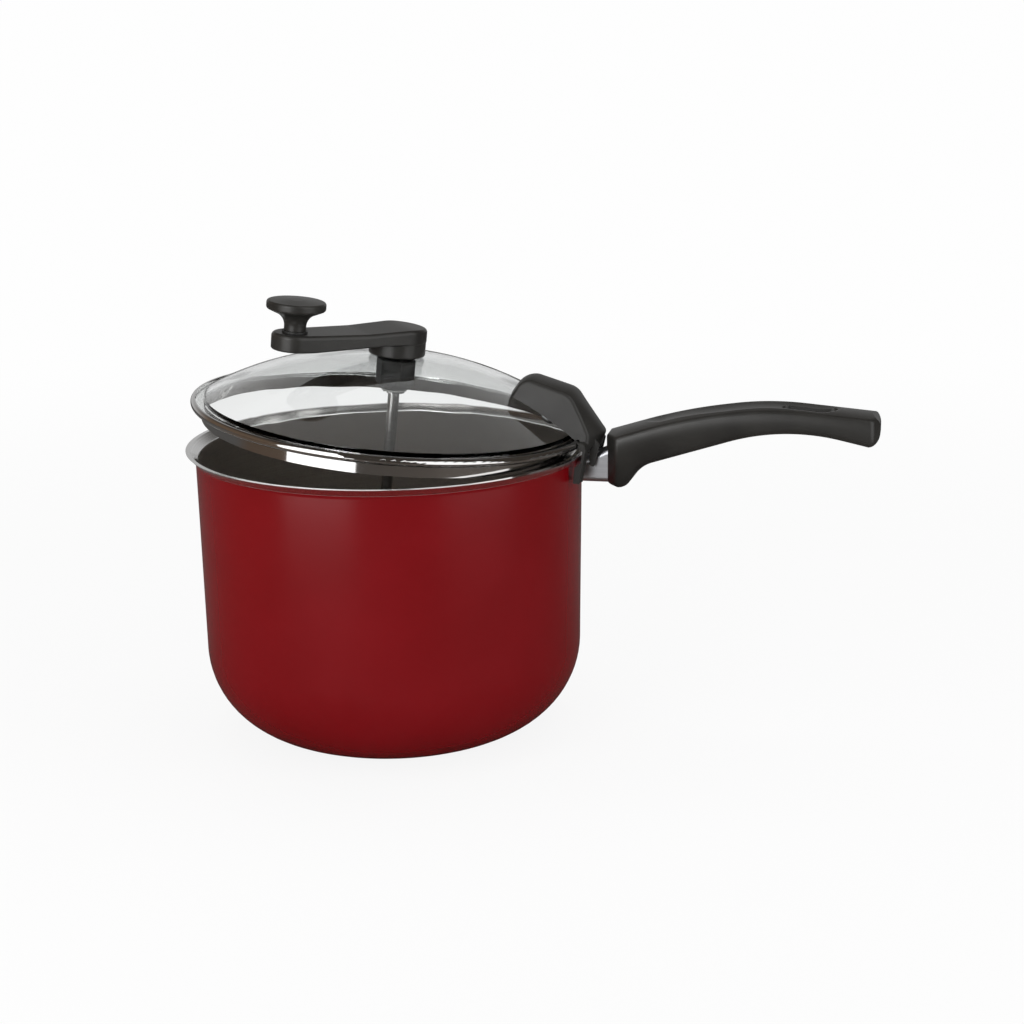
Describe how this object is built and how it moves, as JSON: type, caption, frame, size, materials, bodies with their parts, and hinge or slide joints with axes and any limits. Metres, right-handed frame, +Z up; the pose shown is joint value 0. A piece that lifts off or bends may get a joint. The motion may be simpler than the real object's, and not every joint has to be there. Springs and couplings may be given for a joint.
{
  "type": "stovetop popcorn popper",
  "caption": "Deep lidded pot with a long moulded side handle and a domed glass lid whose hand crank turns a wire stirrer over the pot's floor.",
  "frame": {"origin": "on the pot's axis at the underside of its base", "axes": "+Z up along the pot's axis, +X towards the handle, +Y completes the frame"},
  "size_m": [0.3622, 0.2136, 0.237],
  "materials": {
    "pot_enamel": "satin dark red lacquer outside, bare polished lip, dark non-stick lining inside",
    "cast_aluminium": "as cast",
    "guard_steel": "bright drawn stainless steel sheet",
    "handle_moulding": "black heat-proof moulding, satin",
    "zinc_steel": "zinc-plated steel",
    "tempered_glass": "clear toughened glass",
    "band_steel": "rolled stainless steel, mirror polished",
    "clip_moulding": "black heat-proof moulding, satin",
    "seal_rubber": "black heat-proof rubber",
    "bushing_plastic": "black glass-filled plastic",
    "crank_moulding": "black heat-proof moulding, satin",
    "insert_brass": "knurled turned brass",
    "stirrer_steel": "ground stainless steel",
    "washer_plastic": "pale low-friction plastic"
  },
  "bodies": {
    "pot": {"pot_body": "pot_enamel", "handle_stud": "cast_aluminium", "flame_guard": "guard_steel", "handle": "handle_moulding", "handle_screw": "zinc_steel", "lock_washer": "zinc_steel"},
    "lid": {"lid_glass": "tempered_glass", "lid_band": "band_steel", "lid_clip": "clip_moulding", "clip_screw": "zinc_steel", "clip_washer": "zinc_steel", "clip_pad": "seal_rubber", "inner_pad": "seal_rubber", "shaft_bushing": "bushing_plastic", "bushing_nut": "bushing_plastic", "upper_gasket": "seal_rubber", "lower_gasket": "seal_rubber"},
    "crank": {"crank_arm": "crank_moulding", "hub_insert": "insert_brass", "drive_shaft": "stirrer_steel", "thrust_washer": "washer_plastic", "wear_washer": "washer_plastic", "retaining_clip": "stirrer_steel", "stirrer_hub": "stirrer_steel", "stirrer_wire": "stirrer_steel", "knob_washer": "bushing_plastic"},
    "knob": {"crank_knob": "crank_moulding", "knob_insert": "insert_brass", "knob_spindle": "zinc_steel"}
  },
  "joints": [
    {"name": "lid_tilt", "type": "hinge", "parent": "pot", "child": "lid", "pos_m": [0.1371, 0, 0.1448], "axis": [0, 1, 0], "range_deg": [-5.95, 3]},
    {"name": "crank_spin", "type": "hinge", "parent": "lid", "child": "crank", "pos_m": [0.002, 0, 0.1711], "axis": [0.1037, 0, 0.9946], "continuous": true},
    {"name": "knob_spin", "type": "hinge", "parent": "crank", "child": "knob", "pos_m": [-0.04093, -0.04168, 0.17557], "axis": [0.1037, 0, 0.9946], "continuous": true}
  ]
}
